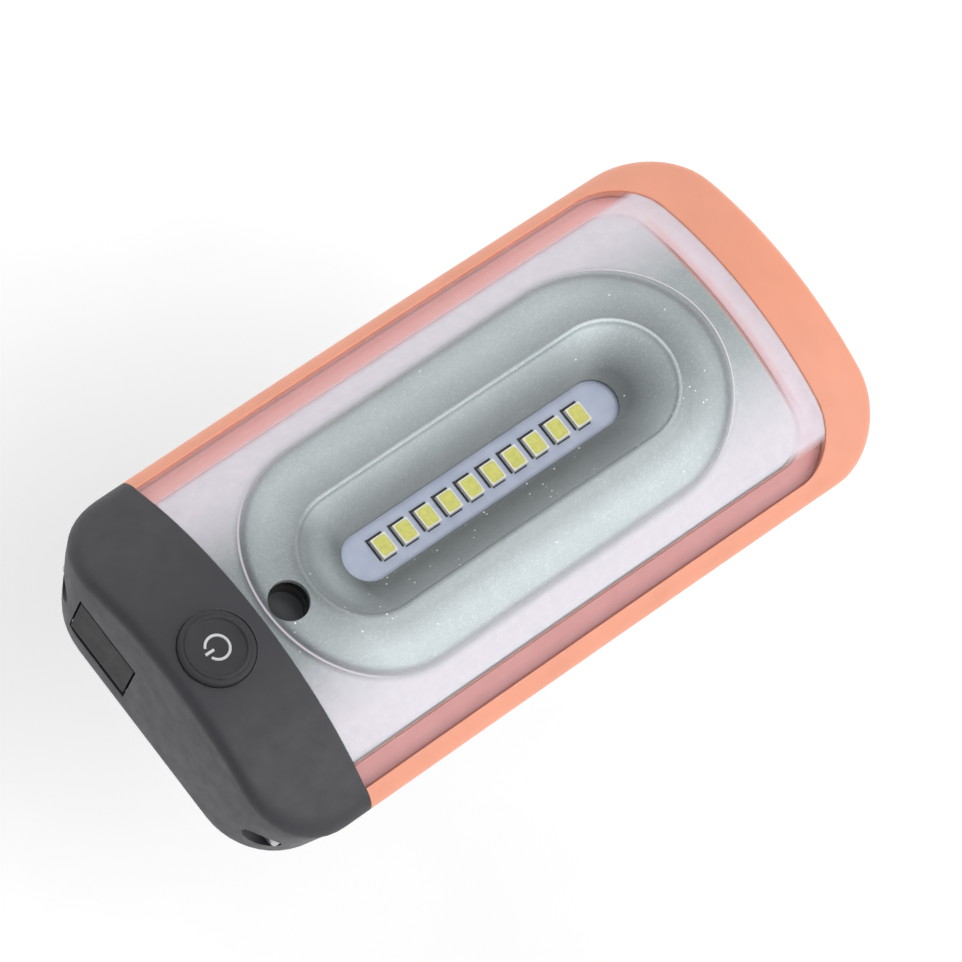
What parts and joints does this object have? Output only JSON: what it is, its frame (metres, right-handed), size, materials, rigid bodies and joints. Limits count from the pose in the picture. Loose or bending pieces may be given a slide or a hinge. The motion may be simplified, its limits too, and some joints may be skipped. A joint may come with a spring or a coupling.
{
  "type": "work light",
  "caption": "Compact rechargeable LED work light: orange crowned case, clear lens over a silver well with an LED row, black switch end, fold-out magnetic stand and hook.",
  "frame": {"origin": "centre of the resting plane, under the middle of the LED row", "axes": "+Z the way the light shines, +X along the LED row away from the black switch end, +Y across"},
  "size_m": [0.124, 0.062, 0.0309],
  "materials": {
    "orange_shell": "satin moulded ABS",
    "dark_shell": "fine spark texture",
    "clear_lens": "polished clear plastic with a milky border",
    "salmon_silicone": "matt silicone",
    "silver_reflector": "fine satin silver paint",
    "white_board": "white solder mask",
    "led_body": "glossy white",
    "phosphor": "yellow phosphor gel",
    "steel_screw": "zinc plated",
    "hook_wire": "bright nickel plated wire",
    "magnet_nickel": "nickel plated, lightly scuffed",
    "thermal_pad": "soft matt",
    "spreader": "rolled",
    "green_board": "green solder mask",
    "black_parts": "moulded packages",
    "port_steel": "stamped",
    "black_rubber": "matt moulded rubber",
    "red_plastic": "gloss",
    "smoked_window": "smoked gloss",
    "cell_pouch": "laminated pouch foil",
    "foam_pad": "foam tape",
    "wire_red": "insulation"
  },
  "bodies": {
    "case": {"housing": "orange_shell", "back_cover": "dark_shell", "end_cap": "dark_shell", "lens": "clear_lens", "lens_gasket": "salmon_silicone", "reflector": "silver_reflector", "led_board": "white_board", "led_packages": "led_body", "led_phosphors": "phosphor", "board_screws": "steel_screw", "case_screws": "steel_screw", "end_cap_screws": "steel_screw", "stand_pin": "steel_screw", "port_cover_pin": "steel_screw", "thermal_pad": "thermal_pad", "heat_spreader": "spreader", "driver_board": "green_board", "protection_board": "green_board", "driver_components": "black_parts", "switch_body": "black_parts", "indicator_shroud": "black_parts", "usb_port": "port_steel", "rubber_feet": "black_rubber", "indicator_window": "smoked_window", "indicator_led": "led_body", "battery_cell": "cell_pouch", "battery_pad": "foam_pad", "cell_wires": "wire_red", "led_wires": "wire_red"},
    "stand": {"stand": "dark_shell", "stand_magnets": "magnet_nickel"},
    "hook": {"hang_hook": "hook_wire"},
    "button": {"power_button": "black_rubber"},
    "plunger": {"switch_plunger": "red_plastic"},
    "port_flap": {"port_cover": "black_rubber"}
  },
  "joints": [
    {"name": "stand_hinge", "type": "hinge", "parent": "case", "child": "stand", "pos_m": [-0.035, 0, 0.0032], "axis": [0, 1, 0], "range_deg": [0, 110]},
    {"name": "hook_hinge", "type": "hinge", "parent": "case", "child": "hook", "pos_m": [0.056, 0, 0.0032], "axis": [0, -1, 0], "range_deg": [0, 180]},
    {"name": "button_press", "type": "slide", "parent": "case", "child": "button", "axis": [0, 0, -1], "range_m": [0, 0.0008]},
    {"name": "plunger_press", "type": "slide", "parent": "case", "child": "plunger", "axis": [0, 0, -1], "range_m": [0, 0.0008]},
    {"name": "port_flap_hinge", "type": "hinge", "parent": "case", "child": "port_flap", "pos_m": [-0.061, 0.0125, 0.0092], "axis": [0, -1, 0], "range_deg": [0, 100]}
  ],
  "couplings": [
    {"joint": "plunger_press", "follows": "button_press", "ratio": 1}
  ]
}
